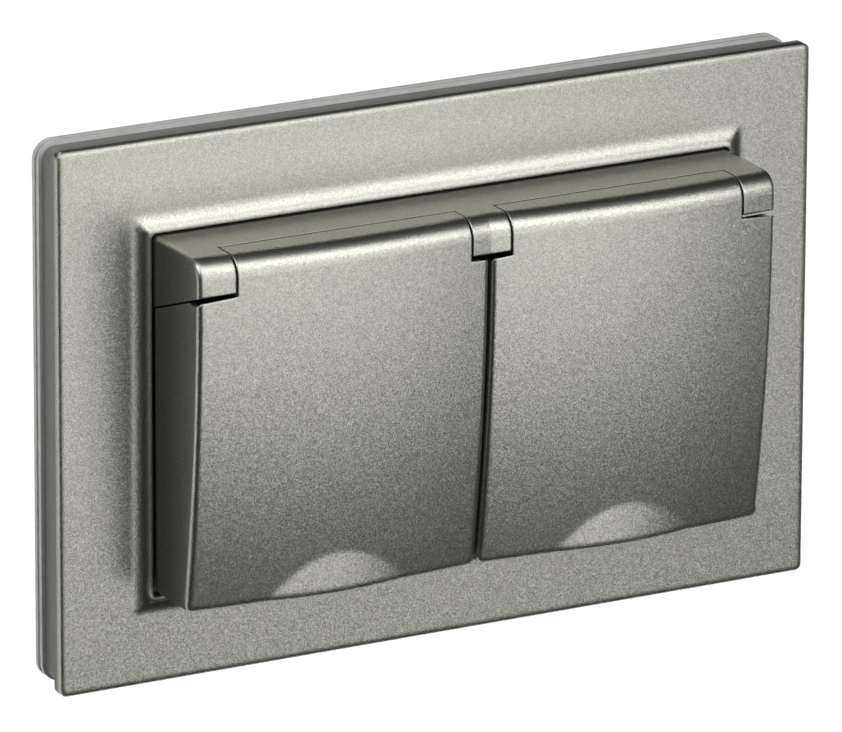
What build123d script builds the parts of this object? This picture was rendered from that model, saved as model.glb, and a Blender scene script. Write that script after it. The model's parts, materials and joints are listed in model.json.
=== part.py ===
from build123d import *

import math
import os

os.makedirs("parts", exist_ok=True)

# Double weatherproof flush socket. Millimetres. X runs right along the plate, Y into the wall, Z up.
# The origin is the centre of the wall plane, so "front" values below are distances out from the wall (-Y).

# Plug recesses
cup_radius = 19.6
cup_depth = 17.5
cup_wall = 1.4
cup_floor = 1.5
pin_spacing = 19.0
pin_hole_radius = 2.75
guide_rib_width = 5.0
guide_rib_height = 2.2
guide_rib_setback = 1.5

# Wall stack, from the wall outwards
gasket_thickness = 2.2
gasket_width = 5.0
gasket_inset = 0.2
gasket_corner = 3.0
gasket_bead = 0.8
gasket_groove = 0.4
skirt_depth = 4.4
skirt_inset = 0.8
skirt_wall = 1.8
skirt_corner = 2.0
rim_flange = 1.0
plate_thickness = 1.4
plate_corner = 1.0
plate_edge_radius = 0.4
plate_margin_x = 11.9
plate_margin_z = 11.25
plate_post_radius = 1.5
collar_width = 2.6
collar_height = 1.4
collar_lead = 11.0
collar_land = 0.2
opening_corner = 0.8

# Flaps and their hinge
flap_wall = 1.5
flap_half_gap = 0.27
flap_side_room = 1.565
flap_bottom_room = 5.1
flap_front_drop = 4.2
flap_crown = 1.35
crown_angle_spare = 0.5
flap_corner = 1.0
flap_edge = 0.9
hinge_ahead = 3.55
hinge_rise = 3.7
hinge_radius = 3.1
knuckle_back = 2.8
tab_ahead = 2.4
tab_width = 5.83
centre_tab_half = 3.16
tab_drop = 2.5
tab_slope = 20.0
block_edge_radius = 0.8
pin_radius = 0.85
pin_end_depth = 3.9
pin_centre_depth = 2.4
lip_half_width = 12.0
lip_stand_off = 1.0
lip_edge_radius = 0.9
seal_width = 2.4
seal_thickness = 0.9

# Torsion springs
spring_wire = 0.36
spring_turns = 3.25
spring_pitch = 0.5
spring_leg = 4.5
spring_seat = 2.0
spring_window = 6.0
spring_offset = 11.0

# Support strap, its fixings and the body in the flush box
strap_thickness = 1.2
box_screw_spacing = 60.0
box_slot_radius = 2.1
box_slot_length = 7.0
strap_edge = 2.0
insert_flange = 2.0
insert_rim = 1.0
insert_lap = 3.0
carrier_flange = 2.0
carrier_lap = 3.5
floor_stand_off = 0.2
rivet_radius = 1.5
rivet_head_radius = 2.0
rivet_head = 0.8
rivet_length = 8.0
rivet_x = 9.0
rivet_room = 1.0
fixing_screw_radius = 1.6
fixing_head_radius = 2.8
fixing_head = 1.4
centre_screw_radius = 1.7
centre_head_radius = 3.1
centre_screw_length = 9.0
centre_head = 1.2
screw_slot = 0.9
strap_corner = 4.0
base_corner = 2.0
sleeve_wall = 0.5
sleeve_bore = 2.3
sleeve_slit = 0.8
bar_thickness = 0.8
bar_width = 5.0
bar_depth = 10.0
base_wall = 1.0
hood_wall = 3.0
terminal_width = 11.0
terminal_height = 6.0
terminal_depth = 7.0
terminal_wall = 0.8
leaf_thickness = 0.4
leaf_setback = 1.2
leaf_reach = 4.7
wire_hole_radius = 1.7
wire_hole_offset = 2.6
earth_strip_thickness = 0.6
earth_strip_width = 4.5
earth_arm_length = 13.0
earth_arm_knee = 6.5
earth_arm_crest = 4.3
earth_arm_bulge = 1.6
earth_arm_gap = 0.3
earth_strap_thickness = 1.0
earth_strap_width = 7.0

# Clearances
hinge_gap = 0.3
relief_gap = 0.25
opening_gap = 0.35
flap_back_gap = 0.3
seal_gap = 0.1
cup_hole_gap = 0.3
cup_top_gap = 0.6
running_gap = 0.05
press_gap = 0.02
fit_gap = 0.1
loose_gap = 0.2

# Distances out from the wall
cup_rim = cup_floor + cup_depth
web_back = gasket_thickness + skirt_depth
plate_back = web_back + rim_flange
plate_front = plate_back + plate_thickness
floor_front = plate_front + floor_stand_off
carrier_back = web_back - carrier_flange
insert_front = strap_thickness + insert_flange
flap_back = plate_front + collar_height + flap_back_gap
axis_front = cup_rim + hinge_ahead
tab_front = axis_front + tab_ahead
block_front = tab_front + flap_crown
arc_front = block_front - hinge_radius

# Places across the plate
cup_outer = cup_radius + cup_wall
flap_width = 2 * (cup_outer + flap_side_room + flap_wall)
cup_x = flap_half_gap + flap_width / 2
block_half = flap_half_gap + flap_width
tab_inner = block_half - tab_width
pin_offset = pin_spacing / 2

# Heights
axis_z = cup_outer + hinge_rise
block_top = axis_z + hinge_radius
block_under = cup_outer + cup_top_gap
flap_bottom = -(cup_outer + flap_bottom_room + flap_wall)

# Opening, plate and strap outlines
opening_x = block_half + opening_gap
opening_z = block_top + opening_gap
collar_x = opening_x + collar_width
collar_z = opening_z + collar_width
slot_z = box_screw_spacing / 2
strap_z = slot_z + box_slot_length / 2 + strap_edge
plate_x = collar_x + plate_margin_x
plate_z = max(collar_z + plate_margin_z, strap_z + loose_gap + gasket_width + gasket_inset)
fixing_x = block_half - flap_wall - fixing_head_radius - opening_gap
fixing_z = flap_bottom + flap_wall + fixing_head_radius + opening_gap
strap_x = fixing_x + fixing_head_radius + strap_edge
flange_z = cup_outer + insert_rim
rivet_z = flange_z + rivet_room + rivet_head_radius

# Hinge radii
cavity_radius = max(math.hypot(knuckle_back, hinge_radius), block_front - axis_front) + hinge_gap
bore_radius = pin_radius + running_gap
flap_arc_radius = ((axis_z - flap_bottom) ** 2 + flap_front_drop**2) / (2 * flap_front_drop)
crown_radius = ((flap_width / 2) ** 2 + flap_crown**2) / (2 * flap_crown)
crown_angle = math.asin(flap_width / (2 * crown_radius)) + math.radians(crown_angle_spare)
tab_fall = crown_radius - math.sqrt(crown_radius**2 - (tab_inner - cup_x) ** 2)
relief_radius = math.hypot(block_front - tab_fall - axis_front, tab_drop) + relief_gap

# Hinge pins and springs
pin_inner = centre_tab_half - pin_centre_depth
pin_outer = tab_inner + pin_end_depth
coil_radius = bore_radius + loose_gap + spring_wire / 2
coil_x = cup_x + spring_offset
coil_length = spring_turns * spring_pitch
spring_back_leg = cavity_radius + spring_seat

# Body in the flush box
sleeve_radius = sleeve_bore + sleeve_wall
pocket_radius = sleeve_radius + loose_gap
base_radius = math.hypot(cup_x, pin_offset) + pocket_radius + base_wall
bar_back = bar_depth + bar_thickness
disc_depth = bar_back + base_wall
terminal_back = bar_back + terminal_depth
base_depth = terminal_back + hood_wall
hood_x = terminal_width / 2 + loose_gap + hood_wall
hood_z = pin_offset + terminal_height / 2 + loose_gap + hood_wall

pin_heights = (pin_offset, -pin_offset)


def front_plane(distance):
    """Plane parallel to the wall, facing out, with local x and y along X and Z."""
    return Plane.XZ.offset(distance)


def back_plane(depth):
    """Plane parallel to the wall, facing in, with local x along -X and local y along Z."""
    return Plane(origin=(0, depth, 0), x_dir=(-1, 0, 0), z_dir=(0, 1, 0))


def side_plane(x):
    """Upright plane facing -X, with local x pointing out from the wall and local y up."""
    return Plane(origin=(x, 0, 0), x_dir=(0, -1, 0), z_dir=(-1, 0, 0))


def flap_front(z, wall=0.0):
    """Distance of the flap's arched front, or of its inner face, out from the wall at height z."""
    return block_front - flap_arc_radius + math.sqrt((flap_arc_radius - wall) ** 2 - (axis_z - z) ** 2)


def tab_under(front, gap=0.0):
    """Height of the hinge tabs' sloping underside, less a gap, at a distance out from the wall."""
    slope = math.tan(math.radians(tab_slope))
    return axis_z - tab_drop - gap - (tab_front - front) * slope


def save(piece, name):
    piece.part.label = name
    export_step(piece.part, f"parts/{name}.step")


# Front plate: a thin panel whose middle rises in a mitred, hollow collar around the opening
with BuildPart() as front_plate:
    with BuildSketch(front_plane(plate_back)):
        RectangleRounded(2 * plate_x, 2 * plate_z, plate_corner)
    extrude(amount=plate_thickness)
    fillet(faces().sort_by(Axis.Y)[0].edges(), plate_edge_radius)

with BuildPart() as collar:
    crest_x = collar_x - collar_width + collar_land
    crest_z = collar_z - collar_width + collar_land
    crest = plate_front + collar_height
    lead_in = math.cos(math.radians(collar_lead))
    lead_out = math.sin(math.radians(collar_lead))
    with BuildSketch(side_plane(collar_x)):
        with BuildLine():
            foot = Line((plate_back, collar_z), (plate_front, collar_z))
            TangentArc(foot @ 1, (crest, crest_z), tangent=(lead_out, -lead_in))
            Line((crest, crest_z), (crest, 0))
            Line((crest, 0), (plate_back, 0))
            Line((plate_back, 0), foot @ 0)
        make_face()
        mirror(about=Plane.XZ)
    extrude(amount=2 * collar_x)
    with BuildSketch(Plane.XY.offset(-collar_z)):
        with BuildLine():
            foot = Line((collar_x, -plate_back), (collar_x, -plate_front))
            TangentArc(foot @ 1, (crest_x, -crest), tangent=(-lead_in, -lead_out))
            Line((crest_x, -crest), (0, -crest))
            Line((0, -crest), (0, -plate_back))
            Line((0, -plate_back), foot @ 0)
        make_face()
        mirror(about=Plane.YZ)
    extrude(amount=2 * collar_z, mode=Mode.INTERSECT)

post_x = plate_x - skirt_inset - skirt_wall - 2 * plate_post_radius
post_z = plate_z - skirt_inset - skirt_wall - 2 * plate_post_radius

with front_plate:
    add(collar.part)
    with BuildSketch(front_plane(web_back)):
        RectangleRounded(2 * opening_x, 2 * opening_z, opening_corner)
    extrude(amount=crest, mode=Mode.SUBTRACT)
    with BuildSketch(front_plane(web_back - rim_flange)):
        with GridLocations(post_x, 2 * post_z, 3, 2):
            Circle(plate_post_radius)
    extrude(amount=2 * rim_flange)
save(front_plate, "front_plate")

# Backing frame: a web behind the plate and a drafted skirt that stands on the gasket
with BuildPart() as backing_frame:
    with BuildSketch(front_plane(web_back)):
        RectangleRounded(2 * plate_x, 2 * plate_z, plate_corner)
        RectangleRounded(2 * opening_x, 2 * opening_z, opening_corner, mode=Mode.SUBTRACT)
        with GridLocations(post_x, 2 * post_z, 3, 2):
            Circle(plate_post_radius + fit_gap, mode=Mode.SUBTRACT)
    extrude(amount=rim_flange)
    skirt_x = plate_x - skirt_inset
    skirt_z = plate_z - skirt_inset
    with BuildSketch(front_plane(gasket_thickness)):
        RectangleRounded(2 * skirt_x, 2 * skirt_z, skirt_corner)
        Rectangle(2 * (skirt_x - skirt_wall), 2 * (skirt_z - skirt_wall), mode=Mode.SUBTRACT)
    extrude(amount=skirt_depth)
save(backing_frame, "backing_frame")

# Wall gasket: a flat ring with two beads and a groove around its edge
with BuildPart() as wall_gasket:
    outer_x = plate_x - gasket_inset
    outer_z = plate_z - gasket_inset
    with BuildSketch(front_plane(0)):
        RectangleRounded(2 * outer_x, 2 * outer_z, gasket_corner)
        RectangleRounded(
            2 * (outer_x - gasket_width), 2 * (outer_z - gasket_width), gasket_corner, mode=Mode.SUBTRACT
        )
    extrude(amount=gasket_thickness)
    with BuildSketch(front_plane(gasket_bead)):
        RectangleRounded(2 * outer_x, 2 * outer_z, gasket_corner)
        RectangleRounded(
            2 * (outer_x - gasket_groove),
            2 * (outer_z - gasket_groove),
            gasket_corner - gasket_groove,
            mode=Mode.SUBTRACT,
        )
    extrude(amount=gasket_thickness - 2 * gasket_bead, mode=Mode.SUBTRACT)
save(wall_gasket, "wall_gasket")

# Cover form: the arched and crowned front that the flaps and the hinge tabs share
crown_centre = Vector(cup_x, crown_radius - block_front, 0)
crown_start = Vector(-math.sin(crown_angle), -math.cos(crown_angle), 0)
crown_foot = crown_centre + crown_start * (crown_radius - block_front)
crown_plane = Plane(crown_foot, x_dir=crown_start, z_dir=crown_start.cross(Vector(0, 0, 1)))
middle_z = (axis_z + flap_bottom) / 2


def crowned_form(wall=0.0):
    """Solid behind the right cover's front, or behind its inner face one wall further in."""
    with BuildPart() as form:
        with BuildSketch(crown_plane):
            with BuildLine():
                ThreePointArc(
                    (block_front - wall, axis_z),
                    (flap_front(middle_z, wall), middle_z),
                    (flap_front(flap_bottom, wall), flap_bottom),
                )
                Polyline(
                    (flap_front(flap_bottom, wall), flap_bottom),
                    (0, flap_bottom),
                    (0, block_top - wall),
                    (arc_front, block_top - wall),
                )
                CenterArc((arc_front, axis_z), hinge_radius - wall, 0, 90)
            make_face()
        revolve(axis=Axis(crown_centre, (0, 0, 1)), revolution_arc=2 * math.degrees(crown_angle))
    return form.part


outer_form = crowned_form()
inner_form = crowned_form(flap_wall)
seat_form = crowned_form(flap_wall / 2)
with BuildPart() as cover_form:
    add(outer_form)
    split(bisect_by=Plane.YZ)
    mirror(about=Plane.YZ)

# Cover carrier: the floor behind the flaps, with the hinge block and its three tabs across the top
with BuildPart() as cover_carrier:
    with BuildSketch(side_plane(block_half)):
        with BuildLine():
            Polyline(
                (web_back, tab_under(web_back)),
                (block_front, tab_under(block_front)),
                (block_front, block_top),
                (web_back, block_top),
                close=True,
            )
        make_face()
    extrude(amount=2 * block_half)
    add(cover_form.part, mode=Mode.INTERSECT)
    end_edges = faces().filter_by(Axis.X).edges()
    fillet(end_edges.filter_by(lambda edge: edge.center().Z > axis_z - tab_drop), block_edge_radius)
    for right_end in (tab_inner, -centre_tab_half):
        with BuildSketch(side_plane(right_end)):
            with Locations((axis_front, axis_z)):
                Circle(cavity_radius)
            with BuildLine():
                Polyline(
                    (web_back, tab_under(web_back)),
                    (block_front, tab_under(web_back)),
                    (block_front, block_under),
                    (web_back, block_under),
                    close=True,
                )
            make_face()
        extrude(amount=tab_inner - centre_tab_half, mode=Mode.SUBTRACT)
    with BuildSketch(front_plane(carrier_back)):
        RectangleRounded(2 * (opening_x + carrier_lap), 2 * (opening_z + carrier_lap), carrier_lap)
    extrude(amount=carrier_flange)
    with BuildSketch(front_plane(web_back)):
        RectangleRounded(2 * block_half, 2 * block_top, opening_corner)
    extrude(amount=floor_front - web_back)
    with BuildSketch(front_plane(insert_front)):
        with Locations((cup_x, 0), (-cup_x, 0)):
            Circle(cup_outer + cup_hole_gap + insert_lap / 2)
    extrude(amount=carrier_back - insert_front)
    with BuildSketch(front_plane(strap_thickness)):
        with Locations((fixing_x, fixing_z), (-fixing_x, fixing_z)):
            Circle(fixing_head_radius)
    extrude(amount=carrier_back - strap_thickness)
    with BuildSketch(front_plane(strap_thickness)):
        with Locations((cup_x, 0), (-cup_x, 0)):
            Circle(cup_outer + cup_hole_gap)
        with Locations((fixing_x, fixing_z), (-fixing_x, fixing_z)):
            Circle(fixing_screw_radius + fit_gap)
    extrude(amount=floor_front, mode=Mode.SUBTRACT)
    for right_end in (pin_outer, -pin_inner):
        with BuildSketch(side_plane(right_end)):
            with Locations((axis_front, axis_z)):
                Circle(pin_radius + press_gap)
        extrude(amount=pin_outer - pin_inner, mode=Mode.SUBTRACT)
    for slot_x in (coil_x, -coil_x):
        with BuildSketch(side_plane(slot_x + coil_length / 2 + coil_radius)):
            with Locations((axis_front - spring_back_leg / 2 - loose_gap, axis_z + coil_radius)):
                Rectangle(spring_back_leg, spring_wire + 2 * loose_gap)
        extrude(amount=coil_length + 2 * coil_radius, mode=Mode.SUBTRACT)
save(cover_carrier, "cover_carrier")

# Finger lip: a slice of an upright cylinder that runs out into the flap's arched front
lip_sag = lip_stand_off + crown_radius - math.sqrt(crown_radius**2 - lip_half_width**2)
lip_radius = (lip_half_width**2 + lip_sag**2) / (2 * lip_sag)
lip_front = flap_front(flap_bottom) + lip_stand_off
lip_drop = math.sqrt(flap_arc_radius**2 - (flap_arc_radius - block_front + lip_front) ** 2)
lip_top = axis_z - lip_drop + lip_edge_radius
lip_back = flap_front(flap_bottom, flap_wall)
with BuildPart() as finger_lip:
    with BuildSketch(Plane.XY.offset(flap_bottom)):
        with Locations((cup_x, lip_radius - lip_front)):
            Circle(lip_radius)
        with Locations((cup_x, -lip_back)):
            Rectangle(flap_width, 2 * lip_radius, align=(Align.CENTER, Align.MAX), mode=Mode.INTERSECT)
    extrude(amount=lip_top - flap_bottom)
    lip_face = faces().filter_by(GeomType.CYLINDER).sort_by(Axis.Y)[0]
    fillet(lip_face.edges().sort_by(Axis.Z)[0], lip_edge_radius)

# Hollow of a flap, one wall behind its front
with BuildPart() as flap_hollow:
    hollow_top = axis_z - hinge_radius
    hollow_low = flap_bottom + flap_wall
    with BuildSketch(side_plane(block_half - flap_wall)):
        with BuildLine():
            Polyline(
                (flap_back, hollow_low),
                (block_front, hollow_low),
                (block_front, hollow_top),
                (flap_back, hollow_top),
                close=True,
            )
        make_face()
    extrude(amount=flap_width - 2 * flap_wall)
    add(inner_form, mode=Mode.INTERSECT)

# Flaps: deep hoods with an arched and crowned front, a knuckle between the tabs and a finger lip
with BuildPart() as right_flap:
    knuckle_front = axis_front - knuckle_back
    with BuildSketch(side_plane(block_half)):
        with BuildLine():
            Polyline(
                (block_front, flap_bottom),
                (flap_back, flap_bottom),
                (flap_back, tab_under(flap_back, hinge_gap)),
                (knuckle_front, tab_under(knuckle_front, hinge_gap)),
                (knuckle_front, block_top),
                (block_front, block_top),
                close=True,
            )
        make_face()
    extrude(amount=flap_width)
    fillet(edges().filter_by(Axis.Y).group_by(Axis.Z)[0], flap_corner)
    add(outer_form, mode=Mode.INTERSECT)
    arched_face = faces().filter_by(GeomType.PLANE, reverse=True).sort_by(SortBy.AREA)[-1]
    fillet(arched_face.edges().sort_by(Axis.Z)[:-1], flap_edge)
    add(finger_lip.part)
    shoulders = ((block_half, tab_inner - hinge_gap), (centre_tab_half + hinge_gap, flap_half_gap))
    for right_end, left_end in shoulders:
        with BuildSketch(side_plane(right_end)):
            with Locations((axis_front, axis_z)):
                Circle(relief_radius)
            with BuildLine():
                Polyline(
                    (flap_back, tab_under(flap_back, hinge_gap)),
                    (block_front, tab_under(block_front, hinge_gap)),
                    (block_front, block_top),
                    (flap_back, block_top),
                    close=True,
                )
            make_face()
        extrude(amount=right_end - left_end, mode=Mode.SUBTRACT)
    add(flap_hollow.part, mode=Mode.SUBTRACT)

# Seat for the flap's seal: a ring that stands on the flap's inner face
seal_back = cup_rim + seal_gap
seal_front = seal_back + seal_thickness
seal_radius = cup_radius + cup_wall / 2
with BuildPart() as seal_seat:
    with BuildSketch(front_plane(seal_front)):
        with Locations((cup_x, 0)):
            Circle(seal_radius + seal_width / 2)
            Circle(seal_radius - seal_width / 2, mode=Mode.SUBTRACT)
    extrude(amount=block_front - seal_front)
    add(seat_form, mode=Mode.INTERSECT)

with right_flap:
    add(seal_seat.part)
    with BuildSketch(front_plane(seal_back)):
        with Locations((cup_x, 0)):
            Circle(seal_radius + seal_width / 2)
            Circle(seal_radius - seal_width / 2, mode=Mode.SUBTRACT)
    extrude(amount=seal_thickness, mode=Mode.SUBTRACT)
    with BuildSketch(side_plane(block_half)):
        with Locations((axis_front, axis_z)):
            Circle(bore_radius)
    extrude(amount=flap_width, mode=Mode.SUBTRACT)
    window = coil_radius + spring_wire / 2 + running_gap
    with BuildSketch(side_plane(coil_x + spring_window / 2)):
        with Locations((axis_front + window, axis_z + window)):
            Rectangle(2 * hinge_radius, 2 * hinge_radius, align=(Align.MAX, Align.MAX))
    extrude(amount=spring_window, mode=Mode.SUBTRACT)
save(right_flap, "right_flap")

with BuildPart() as left_flap:
    mirror(right_flap.part, about=Plane.YZ)
save(left_flap, "left_flap")

# Flap seals: rubber rings that meet the rims of the recesses
with BuildPart() as right_flap_seal:
    with BuildSketch(front_plane(seal_back)):
        with Locations((cup_x, 0)):
            Circle(seal_radius + seal_width / 2)
            Circle(seal_radius - seal_width / 2, mode=Mode.SUBTRACT)
    extrude(amount=seal_thickness)
save(right_flap_seal, "right_flap_seal")

with BuildPart() as left_flap_seal:
    mirror(right_flap_seal.part, about=Plane.YZ)
save(left_flap_seal, "left_flap_seal")

# Hinge pins, pressed into the tabs
with BuildPart() as right_hinge_pin:
    with BuildSketch(side_plane(pin_outer)):
        with Locations((axis_front, axis_z)):
            Circle(pin_radius)
    extrude(amount=pin_outer - pin_inner)
save(right_hinge_pin, "right_hinge_pin")

with BuildPart() as left_hinge_pin:
    mirror(right_hinge_pin.part, about=Plane.YZ)
save(left_hinge_pin, "left_hinge_pin")

# Torsion springs: a coil of square wire on the pin, one leg down the flap and one back into the hinge block
coil_start = coil_x - coil_length / 2
coil_end = coil_x + coil_length / 2
coil_top = (coil_start, -axis_front, axis_z + coil_radius)
coil_front = (coil_end, -axis_front - coil_radius, axis_z)
with BuildPart() as right_torsion_spring:
    with BuildLine():
        Helix(spring_pitch, coil_length, coil_radius, (coil_start, -axis_front, axis_z), (1, 0, 0))
    with BuildSketch(Plane(coil_top, x_dir=(1, 0, 0), z_dir=(0, -1, 0))):
        Rectangle(spring_wire, spring_wire)
    sweep(is_frenet=True)
    with BuildSketch(Plane(coil_top, x_dir=(1, 0, 0), z_dir=(0, 1, 0))):
        Rectangle(spring_wire, spring_wire)
    extrude(amount=spring_back_leg)
    with BuildSketch(Plane(coil_front, x_dir=(1, 0, 0), z_dir=(0, 0, -1))):
        Rectangle(spring_wire, spring_wire)
    extrude(amount=spring_leg)
save(right_torsion_spring, "right_torsion_spring")

with BuildPart() as left_torsion_spring:
    mirror(right_torsion_spring.part, about=Plane.YZ)
save(left_torsion_spring, "left_torsion_spring")

# Socket inserts: a plug recess each, whose flanges meet at the middle
cup_places = ((cup_x, 0), (-cup_x, 0))
pin_places = [(x, z) for x, _ in cup_places for z in pin_heights]
groove_depth = earth_strip_thickness + press_gap
groove_width = earth_strip_width + 2 * fit_gap
arm_reach = cup_radius - earth_arm_gap
with BuildPart() as right_socket_insert:
    with BuildSketch(front_plane(strap_thickness)):
        flange_x = cup_x + flange_z + insert_lap
        SlotOverall(2 * flange_x, 2 * flange_z)
        with Locations((loose_gap / 2, 0)):
            Rectangle(flange_x, 2 * flange_z, align=(Align.MIN, Align.CENTER), mode=Mode.INTERSECT)
    extrude(amount=insert_flange)
    with BuildSketch(front_plane(0)):
        with Locations((cup_x, 0)):
            Circle(cup_outer)
    extrude(amount=cup_rim)
    with BuildSketch(front_plane(cup_floor)):
        with Locations((cup_x, 0)):
            Circle(cup_radius)
    extrude(amount=cup_depth, mode=Mode.SUBTRACT)
    with BuildSketch(front_plane(cup_floor)):
        with Locations((cup_x, 0)):
            Circle(cup_radius + cup_wall / 2)
            Rectangle(guide_rib_width, 2 * cup_outer, mode=Mode.INTERSECT)
            Circle(cup_radius - guide_rib_height, mode=Mode.SUBTRACT)
    extrude(amount=cup_depth - guide_rib_setback)
    with BuildSketch(front_plane(cup_floor - groove_depth)):
        with Locations((cup_x, 0)):
            Rectangle(2 * (arm_reach + fit_gap), groove_width)
    extrude(amount=groove_depth, mode=Mode.SUBTRACT)
    with BuildSketch(front_plane(0)):
        with Locations((cup_x, pin_offset), (cup_x, -pin_offset)):
            Circle(pin_hole_radius)
        with Locations((cup_x, 0)):
            Circle(centre_screw_radius + fit_gap)
    extrude(amount=cup_floor, mode=Mode.SUBTRACT)
save(right_socket_insert, "right_socket_insert")

with BuildPart() as left_socket_insert:
    mirror(right_socket_insert.part, about=Plane.YZ)
save(left_socket_insert, "left_socket_insert")

# Earth brackets: a strip along the recess floor, bent up into a sprung arm at each side
with BuildPart() as right_earth_bracket:
    arm_x = arm_reach - earth_strip_thickness / 2
    strip_front = cup_floor - earth_strip_thickness / 2
    knee = strip_front + earth_arm_knee
    with BuildSketch(Plane.XY.offset(-earth_strip_width / 2)):
        with BuildLine():
            for side in (1, -1):
                Polyline(
                    (cup_x, -strip_front),
                    (cup_x + side * arm_x, -strip_front),
                    (cup_x + side * arm_x, -knee),
                    (cup_x + side * (arm_x - earth_arm_bulge), -knee - earth_arm_crest),
                    (cup_x + side * arm_x, -strip_front - earth_arm_length),
                )
        trace(line_width=earth_strip_thickness)
    extrude(amount=earth_strip_width)
    with BuildSketch(front_plane(0)):
        with Locations((cup_x, 0)):
            Circle(centre_screw_radius + fit_gap)
    extrude(amount=cup_floor, mode=Mode.SUBTRACT)
save(right_earth_bracket, "right_earth_bracket")

with BuildPart() as left_earth_bracket:
    mirror(right_earth_bracket.part, about=Plane.YZ)
save(left_earth_bracket, "left_earth_bracket")

# Centre screws, which hold the insert and the brackets to the earth strap
with BuildPart() as centre_screws:
    with BuildSketch(front_plane(cup_floor)):
        with Locations(*cup_places):
            Circle(centre_head_radius)
    extrude(amount=centre_head)
    with BuildSketch(front_plane(cup_floor - centre_screw_length)):
        with Locations(*cup_places):
            Circle(centre_screw_radius)
    extrude(amount=centre_screw_length)
    with BuildSketch(front_plane(cup_floor + centre_head / 2)):
        with Locations(*cup_places):
            Rectangle(2 * centre_head_radius, screw_slot)
    extrude(amount=centre_head / 2, mode=Mode.SUBTRACT)
save(centre_screws, "centre_screws")

# Support strap: sheet steel around both recesses, with the slots for the box screws
slot_places = ((0, slot_z), (0, -slot_z))
rivet_places = [(x, z) for x in (rivet_x, -rivet_x) for z in (rivet_z, -rivet_z)]
fixing_places = ((fixing_x, fixing_z), (-fixing_x, fixing_z))
with BuildPart() as support_strap:
    with BuildSketch(front_plane(0)):
        RectangleRounded(2 * strap_x, 2 * strap_z, strap_corner)
        with Locations(*cup_places):
            Circle(cup_outer + cup_hole_gap, mode=Mode.SUBTRACT)
        with Locations(*slot_places):
            SlotOverall(box_slot_length, 2 * box_slot_radius, rotation=90, mode=Mode.SUBTRACT)
        with Locations(*rivet_places):
            Circle(rivet_radius + fit_gap, mode=Mode.SUBTRACT)
        with Locations(*fixing_places):
            Circle(fixing_screw_radius + running_gap, mode=Mode.SUBTRACT)
    extrude(amount=strap_thickness)
save(support_strap, "support_strap")

# Strap rivets, which hold the socket base against the strap
with BuildPart() as strap_rivets:
    with BuildSketch(front_plane(strap_thickness)):
        with Locations(*rivet_places):
            Circle(rivet_head_radius)
    extrude(amount=rivet_head)
    with BuildSketch(front_plane(strap_thickness)):
        with Locations(*rivet_places):
            Circle(rivet_radius)
    extrude(amount=-rivet_length)
save(strap_rivets, "strap_rivets")

# Front fixing screws, reached behind the open flaps
with BuildPart() as front_fixing_screws:
    with BuildSketch(front_plane(floor_front)):
        with Locations(*fixing_places):
            Circle(fixing_head_radius - fit_gap)
    extrude(amount=fixing_head)
    with BuildSketch(front_plane(0)):
        with Locations(*fixing_places):
            Circle(fixing_screw_radius)
    extrude(amount=floor_front)
    with BuildSketch(front_plane(floor_front + fixing_head / 2)):
        with Locations(*fixing_places):
            Rectangle(2 * fixing_head_radius, screw_slot)
    extrude(amount=fixing_head / 2, mode=Mode.SUBTRACT)
save(front_fixing_screws, "front_fixing_screws")

# Socket base: a round body behind the strap with a hood for the terminals
with BuildPart() as socket_base:
    with BuildSketch(back_plane(0)):
        Circle(base_radius)
    extrude(amount=disc_depth)
    with BuildSketch(back_plane(0)):
        RectangleRounded(2 * hood_x, 2 * hood_z, base_corner)
    extrude(amount=base_depth)
    fillet(faces().sort_by(Axis.Y)[-1].edges(), base_corner / 2)
    with BuildSketch(back_plane(0)):
        with Locations(*slot_places):
            Circle(box_slot_length / 2 + base_wall)
    extrude(amount=disc_depth, mode=Mode.SUBTRACT)
    with BuildSketch(back_plane(0)):
        with Locations(*pin_places):
            Circle(pocket_radius)
        with Locations((0, pin_offset), (0, -pin_offset)):
            Rectangle(2 * cup_x, bar_width + 2 * fit_gap)
    extrude(amount=bar_back, mode=Mode.SUBTRACT)
    with BuildSketch(back_plane(0)):
        with Locations((0, pin_offset), (0, 0), (0, -pin_offset)):
            Rectangle(terminal_width + 2 * fit_gap, terminal_height + 2 * fit_gap)
    extrude(amount=terminal_back, mode=Mode.SUBTRACT)
    with BuildSketch(back_plane(0)):
        SlotOverall(2 * cup_x + earth_strap_width + 2 * fit_gap, earth_strap_width + 2 * fit_gap)
    extrude(amount=earth_strap_thickness, mode=Mode.SUBTRACT)
    with BuildSketch(back_plane(0)):
        with Locations(*cup_places):
            Circle(centre_screw_radius + fit_gap)
    extrude(amount=centre_screw_length, mode=Mode.SUBTRACT)
    with BuildSketch(back_plane(0)):
        with Locations(*rivet_places):
            Circle(rivet_radius + fit_gap)
    extrude(amount=rivet_length, mode=Mode.SUBTRACT)
    with BuildSketch(back_plane(terminal_back)):
        with Locations((0, pin_offset), (0, 0), (0, -pin_offset)):
            with Locations((wire_hole_offset, 0), (-wire_hole_offset, 0)):
                Circle(wire_hole_radius)
    extrude(amount=base_depth, mode=Mode.SUBTRACT)
save(socket_base, "socket_base")

# Contact bars: a strip with a slit sleeve at each end for the plug's pins
for bar_name, bar_z in (("line_contact_bar", pin_offset), ("neutral_contact_bar", -pin_offset)):
    with BuildPart() as contact_bar:
        with BuildSketch(back_plane(bar_depth)):
            with Locations((0, bar_z)):
                SlotOverall(2 * (cup_x + sleeve_radius), bar_width)
        extrude(amount=bar_thickness)
        with BuildSketch(back_plane(loose_gap)):
            with Locations((cup_x, bar_z), (-cup_x, bar_z)):
                Circle(sleeve_radius)
                Circle(sleeve_bore, mode=Mode.SUBTRACT)
                Rectangle(2 * sleeve_radius, sleeve_slit, mode=Mode.SUBTRACT)
        extrude(amount=bar_depth - loose_gap)
    save(contact_bar, bar_name)

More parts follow.
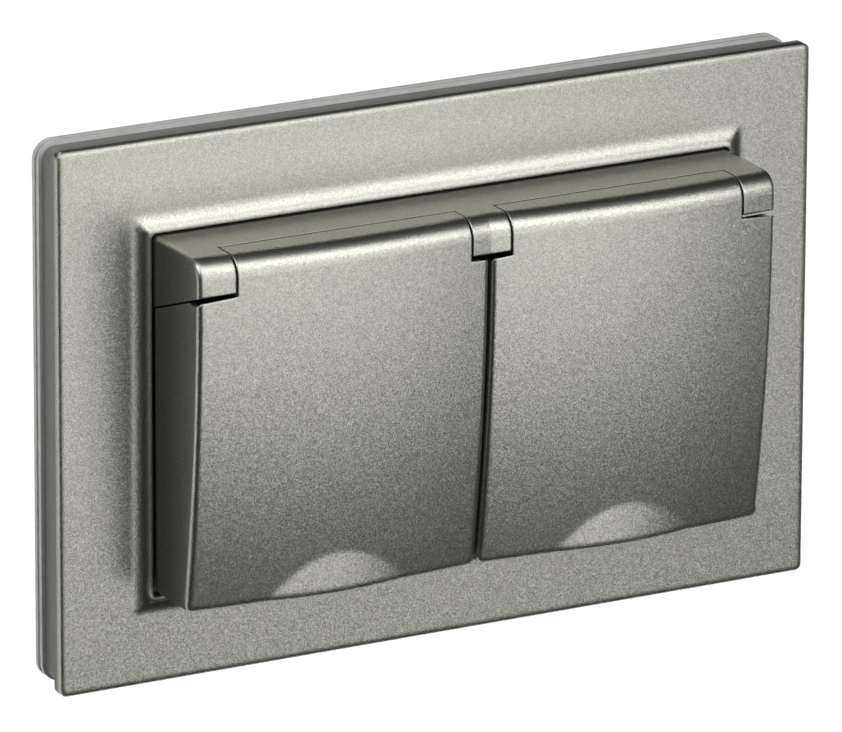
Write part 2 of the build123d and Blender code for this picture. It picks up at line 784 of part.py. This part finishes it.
# Earth strap: a flat strip that joins the two brackets' screws
with BuildPart() as earth_strap:
    with BuildSketch(back_plane(0)):
        SlotOverall(2 * cup_x + earth_strap_width, earth_strap_width)
        with Locations(*cup_places):
            Circle(centre_screw_radius + running_gap, mode=Mode.SUBTRACT)
    extrude(amount=earth_strap_thickness)
save(earth_strap, "earth_strap")

# Terminal cages, open to the wire holes at the back
terminals = (("line_terminal", pin_offset), ("earth_terminal", 0.0), ("neutral_terminal", -pin_offset))
for terminal_name, terminal_z in terminals:
    with BuildPart() as terminal:
        with BuildSketch(back_plane(bar_back)):
            with Locations((0, terminal_z)):
                Rectangle(terminal_width, terminal_height)
        extrude(amount=terminal_depth)
        with BuildSketch(back_plane(bar_back + terminal_wall)):
            with Locations((0, terminal_z)):
                Rectangle(terminal_width - 2 * terminal_wall, terminal_height - 2 * terminal_wall)
        extrude(amount=terminal_depth, mode=Mode.SUBTRACT)
        if terminal_z == 0:
            with BuildSketch(back_plane(earth_strap_thickness)):
                Rectangle(terminal_width, terminal_wall)
            extrude(amount=bar_back - earth_strap_thickness)
    save(terminal, terminal_name)

# Terminal springs: a bent leaf in each cage that grips the wires
leaf_top = terminal_height / 2 - terminal_wall - leaf_thickness / 2 - press_gap
leaf_front = bar_back + terminal_wall + leaf_setback
with BuildPart() as terminal_springs:
    with BuildSketch(side_plane(terminal_width / 2 - terminal_wall - loose_gap)):
        for _, terminal_z in terminals:
            with BuildLine():
                Polyline(
                    (-terminal_back + leaf_thickness, terminal_z + leaf_top),
                    (-leaf_front, terminal_z + leaf_top),
                    (-bar_back - leaf_reach, terminal_z - leaf_top / 2),
                )
            trace(line_width=leaf_thickness)
    extrude(amount=terminal_width - 2 * terminal_wall - 2 * loose_gap)
save(terminal_springs, "terminal_springs")
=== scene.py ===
import json
import math

import bpy
from mathutils import Matrix, Quaternion, Vector


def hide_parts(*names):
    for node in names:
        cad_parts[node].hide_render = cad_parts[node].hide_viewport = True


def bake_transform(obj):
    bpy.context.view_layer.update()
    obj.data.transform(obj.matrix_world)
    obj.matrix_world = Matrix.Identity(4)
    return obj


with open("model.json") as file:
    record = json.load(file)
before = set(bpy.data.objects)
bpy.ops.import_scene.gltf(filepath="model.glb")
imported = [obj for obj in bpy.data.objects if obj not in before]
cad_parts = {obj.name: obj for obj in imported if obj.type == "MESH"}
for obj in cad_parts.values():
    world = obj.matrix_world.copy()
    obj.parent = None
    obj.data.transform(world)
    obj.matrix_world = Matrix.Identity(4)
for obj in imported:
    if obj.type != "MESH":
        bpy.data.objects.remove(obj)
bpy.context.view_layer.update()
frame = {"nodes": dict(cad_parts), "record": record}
nodes = frame["nodes"]
record = frame["record"]
scene = bpy.context.scene


# Camera at the photograph's viewing angle
YAW = math.radians(28.237)
ELEVATION = math.radians(17.87)
ROLL = math.radians(0.23)
DISTANCE = 1.52936
SHIFT_RIGHT = -0.002779
SHIFT_UP = 0.000237
TARGET = Vector((0.0, -0.009, 0.0))
LENS_MM = 437.67
SENSOR_MM = 36.0
NEAREST = 0.05
FARTHEST = 50.0


def add_camera():
    back = Vector((
        -math.sin(YAW) * math.cos(ELEVATION), -math.cos(YAW) * math.cos(ELEVATION), math.sin(ELEVATION)
    ))
    level = Vector((math.cos(YAW), -math.sin(YAW), 0.0))
    rise = back.cross(level)
    right = level * math.cos(ROLL) + rise * math.sin(ROLL)
    up = rise * math.cos(ROLL) - level * math.sin(ROLL)
    place = TARGET + back * DISTANCE + right * SHIFT_RIGHT + up * SHIFT_UP
    data = bpy.data.cameras.new("camera")
    data.lens = LENS_MM
    data.sensor_width = SENSOR_MM
    data.clip_start = NEAREST
    data.clip_end = FARTHEST
    camera = bpy.data.objects.new("camera", data)
    camera.matrix_world = Matrix((
        (right.x, up.x, back.x, place.x),
        (right.y, up.y, back.y, place.y),
        (right.z, up.z, back.z, place.z),
        (0.0, 0.0, 0.0, 1.0),
    ))
    scene.collection.objects.link(camera)
    scene.camera = camera


add_camera()
scene.view_settings.view_transform = "Standard"


# Node materials
EDGE_SAMPLES = 8


class Nodes:
    """A material's node tree, built by short calls."""

    def __init__(self, name):
        self.material = bpy.data.materials.new(name)
        self.material.use_nodes = True
        self.tree = self.material.node_tree
        self.tree.nodes.clear()
        output = self.add("ShaderNodeOutputMaterial")
        self.shader = self.add("ShaderNodeBsdfPrincipled")
        self.link(self.shader.outputs[0], output.inputs["Surface"])
        self.place = self.add("ShaderNodeTexCoord").outputs["Object"]

    def add(self, kind, **settings):
        node = self.tree.nodes.new(kind)
        for key, value in settings.items():
            setattr(node, key, value)
        return node

    def link(self, start, end):
        self.tree.links.new(start, end)

    def give(self, socket, value):
        """Lead a node's value to one of the shader's sockets."""
        self.link(value, self.shader.inputs[socket])

    def set(self, **values):
        """Set constants on the shader's own sockets."""
        for key, value in values.items():
            self.shader.inputs[key.replace("_", " ")].default_value = value

    def noise(self, scale, detail=2.0, roughness=0.5, stretch=None):
        """Noise at a number of grains to the metre, stretched along an axis where asked."""
        node = self.add("ShaderNodeTexNoise")
        node.inputs["Scale"].default_value = scale
        node.inputs["Detail"].default_value = detail
        node.inputs["Roughness"].default_value = roughness
        start = self.place
        if stretch:
            mapping = self.add("ShaderNodeMapping")
            mapping.inputs["Scale"].default_value = stretch
            self.link(start, mapping.inputs["Vector"])
            start = mapping.outputs[0]
        self.link(start, node.inputs["Vector"])
        return node.outputs["Fac"]

    def cells(self, scale):
        """A random colour for each flake."""
        node = self.add("ShaderNodeTexVoronoi")
        node.inputs["Scale"].default_value = scale
        self.link(self.place, node.inputs["Vector"])
        return node.outputs["Color"]

    def ramp(self, value, *stops):
        node = self.add("ShaderNodeValToRGB")
        points = node.color_ramp.elements
        while len(points) < len(stops):
            points.new(0.5)
        for point, (position, colour) in zip(points, stops):
            point.position = position
            point.color = (*colour, 1.0)
        self.link(value, node.inputs["Fac"])
        return node.outputs["Color"]

    def span(self, value, low, high, start=0.0, end=1.0):
        """A value that goes from low to high while another goes from start to end."""
        node = self.add("ShaderNodeMapRange")
        node.inputs["From Min"].default_value = start
        node.inputs["From Max"].default_value = end
        node.inputs["To Min"].default_value = low
        node.inputs["To Max"].default_value = high
        self.link(value, node.inputs["Value"])
        return node.outputs["Result"]

    def mix(self, factor, first, second):
        node = self.add("ShaderNodeMix", data_type="RGBA")
        node.inputs["Factor"].default_value = factor
        self.link(first, node.inputs["A"])
        self.link(second, node.inputs["B"])
        return node.outputs["Result"]

    def height(self):
        axes = self.add("ShaderNodeSeparateXYZ")
        self.link(self.place, axes.inputs[0])
        return axes.outputs["Z"]

    def soft_edges(self, radius):
        """The surface's direction, with edges softened as a coat of lacquer softens them."""
        node = self.add("ShaderNodeBevel", samples=EDGE_SAMPLES)
        self.link(radius, node.inputs["Radius"])
        return node.outputs["Normal"]

    def vector(self, operation, first):
        node = self.add("ShaderNodeVectorMath", operation=operation)
        self.link(first, node.inputs[0])
        return node

    def tilt(self, normal, cells, amount):
        """Turn the surface a little, each flake its own way."""
        centred = self.vector("SUBTRACT", cells)
        centred.inputs[1].default_value = (0.5, 0.5, 0.5)
        small = self.vector("SCALE", centred.outputs[0])
        small.inputs["Scale"].default_value = amount
        turned = self.vector("ADD", normal)
        self.link(small.outputs[0], turned.inputs[1])
        self.give("Normal", self.vector("NORMALIZE", turned.outputs[0]).outputs[0])

    def bump(self, height, strength, depth):
        node = self.add("ShaderNodeBump")
        node.inputs["Strength"].default_value = strength
        node.inputs["Distance"].default_value = depth
        self.link(height, node.inputs["Height"])
        self.give("Normal", node.outputs[0])


def shade(colour, factor):
    return tuple(min(1.0, part * factor) for part in colour)


# Silver lacquer
LACQUER_TONE = (0.45, 0.448, 0.405)
EDGE_TINT = (0.6, 0.6, 0.6, 1.0)
FLAKES_PER_METRE = 7000.0
FLAKE_TILT = 0.12
LIP_TOP = -0.014
MID_HEIGHT = 0.0
LIP_EDGE = 0.0014
HINGE_EDGE = 0.0004
PLATE_EDGE = 0.0013


def lacquer(name, low_edge, high_edge):
    """Lacquer whose flakes differ in shade and lie each its own way.

    Edges are softened within low_edge at the finger lips and within high_edge above mid-height.
    """
    tone = LACQUER_TONE
    made = Nodes(name)
    cells = made.cells(FLAKES_PER_METRE)
    flakes = made.ramp(cells, (0.2, shade(tone, 0.72)), (0.5, tone), (0.8, shade(tone, 1.32)))
    clouds = made.ramp(made.noise(900.0, detail=3.0), (0.3, shade(tone, 0.92)), (0.7, shade(tone, 1.08)))
    made.give("Base Color", made.mix(0.35, flakes, clouds))
    made.give("Roughness", made.span(made.noise(1500.0), 0.34, 0.38))
    edge = made.span(made.height(), low_edge, high_edge, start=LIP_TOP, end=MID_HEIGHT)
    made.tilt(made.soft_edges(edge), cells, FLAKE_TILT)
    made.set(Metallic=1.0, Specular_Tint=EDGE_TINT)
    return made.material


# Mouldings and rubber
def grained(name, tone, low, high, grain=1400.0, depth=0.00003):
    """A fine-grained surface whose roughness lies between two values."""
    made = Nodes(name)
    cloud = made.ramp(made.noise(160.0, detail=4.0), (0.3, shade(tone, 0.93)), (0.7, shade(tone, 1.06)))
    speck = made.ramp(made.noise(grain), (0.35, shade(tone, 0.9)), (0.65, shade(tone, 1.08)))
    made.give("Base Color", made.mix(0.5, cloud, speck))
    made.give("Roughness", made.span(made.noise(grain / 3), low, high))
    made.bump(made.noise(grain), 0.3, depth)
    return made


def moulded(name, tone, low, high, grain=1400.0):
    return grained(name, tone, low, high, grain).material


def gasket_rubber():
    """Pale rubber that lets some light in."""
    made = grained("clear_rubber", (0.58, 0.586, 0.576), 0.35, 0.5, grain=700.0, depth=0.00002)
    made.set(Subsurface_Weight=0.35, Subsurface_Radius=(0.004, 0.004, 0.004), IOR=1.42)
    return made.material


# Bare metals
def metal(name, tone, low, high, stretch):
    """Metal with drawing lines, whose roughness lies between two values."""
    made = Nodes(name)
    lines = made.noise(1800.0, detail=3.0, roughness=0.6, stretch=stretch)
    cloud = made.ramp(made.noise(220.0, detail=3.0), (0.3, shade(tone, 0.88)), (0.7, shade(tone, 1.08)))
    drawn = made.ramp(lines, (0.3, shade(tone, 0.85)), (0.7, shade(tone, 1.1)))
    made.give("Base Color", made.mix(0.5, cloud, drawn))
    made.give("Roughness", made.span(lines, low, high))
    made.bump(lines, 0.2, 0.00002)
    made.set(Metallic=1.0)
    return made.material


# A finish for each of the record's slots, and the plate's own
ALONG_X = (0.05, 1.0, 1.0)
ALONG_BAR = (0.08, 1.0, 1.0)
UPRIGHT = (1.0, 1.0, 0.08)
EVEN = (1.0, 1.0, 1.0)

finishes = {
    "metallic_lacquer": lacquer("cover_lacquer", LIP_EDGE, HINGE_EDGE),
    "grey_plastic": moulded("grey_plastic", (0.2, 0.2, 0.187), 0.45, 0.6),
    "clear_rubber": gasket_rubber(),
    "black_rubber": moulded("black_rubber", (0.028, 0.028, 0.028), 0.6, 0.8, grain=900.0),
    "insert_plastic": moulded("insert_plastic", (0.16, 0.16, 0.148), 0.4, 0.55),
    "base_plastic": moulded("base_plastic", (0.74, 0.73, 0.69), 0.45, 0.6, grain=600.0),
    "bright_steel": metal("bright_steel", (0.68, 0.68, 0.66), 0.22, 0.36, ALONG_X),
    "spring_steel": metal("spring_steel", (0.55, 0.55, 0.54), 0.25, 0.4, EVEN),
    "zinc_steel": metal("zinc_steel", (0.63, 0.63, 0.58), 0.32, 0.48, ALONG_X),
    "tinned_brass": metal("tinned_brass", (0.72, 0.68, 0.56), 0.25, 0.4, UPRIGHT),
    "contact_brass": metal("contact_brass", (0.78, 0.57, 0.26), 0.25, 0.4, ALONG_BAR),
}
own_finishes = {"front_plate": lacquer("plate_lacquer", PLATE_EDGE, PLATE_EDGE)}

for part in record["subparts"]:
    mesh = nodes[part["node"]].data
    mesh.materials.clear()
    mesh.materials.append(own_finishes.get(part["node"], finishes[part["material_slot"]]))


def wind_spring(joint):
    twist = joint["deforming_nodes"][0]
    spring = bpy.data.objects.new("wound_" + twist["node"], nodes[twist["node"]].data.copy())
    scene.collection.objects.link(spring)
    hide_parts(twist["node"])
    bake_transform(spring)


for hinge in record["behaviour"]["joints"]:
    wind_spring(hinge)


# White floor, and a black card over its front half, which keeps the floor's light off the flaps.
# No camera sees the card.
FLOOR_REACH = 8.0
FLOOR_LEVEL = -0.35
FLOOR_TONE = (0.86, 0.86, 0.85)
CARD_LEVEL = -0.22
CARD_BACK = -0.005


def paint_floor():
    made = Nodes("pale_floor")
    made.give("Base Color", made.ramp(made.noise(6.0), (0.3, shade(FLOOR_TONE, 0.985)), (0.7, FLOOR_TONE)))
    made.set(Roughness=0.8)
    return made.material


def lay_sheet(name, back, level, material):
    """A level sheet of the studio, which reaches from the front to a line across it."""
    mesh = bpy.data.meshes.new(name)
    corners = [
        (-FLOOR_REACH, -FLOOR_REACH, level),
        (FLOOR_REACH, -FLOOR_REACH, level),
        (FLOOR_REACH, back, level),
        (-FLOOR_REACH, back, level),
    ]
    mesh.from_pydata(corners, [], [(0, 1, 2, 3)])
    mesh.materials.append(material)
    sheet = bpy.data.objects.new(name, mesh)
    scene.collection.objects.link(sheet)
    return sheet


lay_sheet("floor", FLOOR_REACH, FLOOR_LEVEL, paint_floor())
black_cloth = moulded("black_cloth", (0.012, 0.012, 0.012), 0.8, 0.95, grain=300.0)
card = lay_sheet("card", CARD_BACK, CARD_LEVEL, black_cloth)
card.visible_camera = False


# World and lamps
WORLD_STRENGTH = 0.008
NARROW_SPREAD = 40.0
FLOOR_LIT = 15.8
FLOOR_LAMP_LEVEL = -0.25
FLOOR_WATTS_PER_SQUARE_METRE = 3.95
FLOOR_SPREAD = 60.0


def add_world():
    world = bpy.data.worlds.new("studio")
    world.use_nodes = True
    scene.world = world
    tree = world.node_tree
    tree.nodes.clear()
    output = tree.nodes.new("ShaderNodeOutputWorld")
    sky = tree.nodes.new("ShaderNodeBackground")
    sky.inputs["Color"].default_value = (1.0, 1.0, 1.0, 1.0)
    sky.inputs["Strength"].default_value = WORLD_STRENGTH
    tree.links.new(sky.outputs[0], output.inputs["Surface"])


def softbox(name, place, width, height, power, spread=180.0):
    """A soft rectangular lamp aimed at the object's middle, with a grid where its spread is narrow."""
    data = bpy.data.lights.new(name, "AREA")
    data.shape = "RECTANGLE"
    data.size = width
    data.size_y = height
    data.energy = power
    data.spread = math.radians(spread)
    lamp = bpy.data.objects.new(name, data)
    lamp.location = place
    lamp.rotation_mode = "QUATERNION"
    lamp.rotation_quaternion = (-Vector(place)).to_track_quat("-Z", "Y")
    lamp.visible_camera = False
    scene.collection.objects.link(lamp)
    return lamp


def light_floor():
    """A lamp low over the floor, which shines down on it and so never straight at the object."""
    power = FLOOR_WATTS_PER_SQUARE_METRE * FLOOR_LIT ** 2
    lamp = softbox("floor_light", (0.0, 0.0, FLOOR_LAMP_LEVEL), FLOOR_LIT, FLOOR_LIT, power, FLOOR_SPREAD)
    lamp.rotation_quaternion = Quaternion()


add_world()
softbox("key", (0.071, -0.313, 0.075), width=0.376, height=0.523, power=0.91)
softbox("overhead", (-0.052, -0.117, 0.154), width=0.824, height=0.124, power=0.48)
softbox("left", (-0.42, -0.12, 0.4), width=0.2, height=0.2, power=0.03, spread=NARROW_SPREAD)
softbox("back", (0.0, 0.42, 0.36), width=0.3, height=0.16, power=0.03, spread=NARROW_SPREAD)
light_floor()
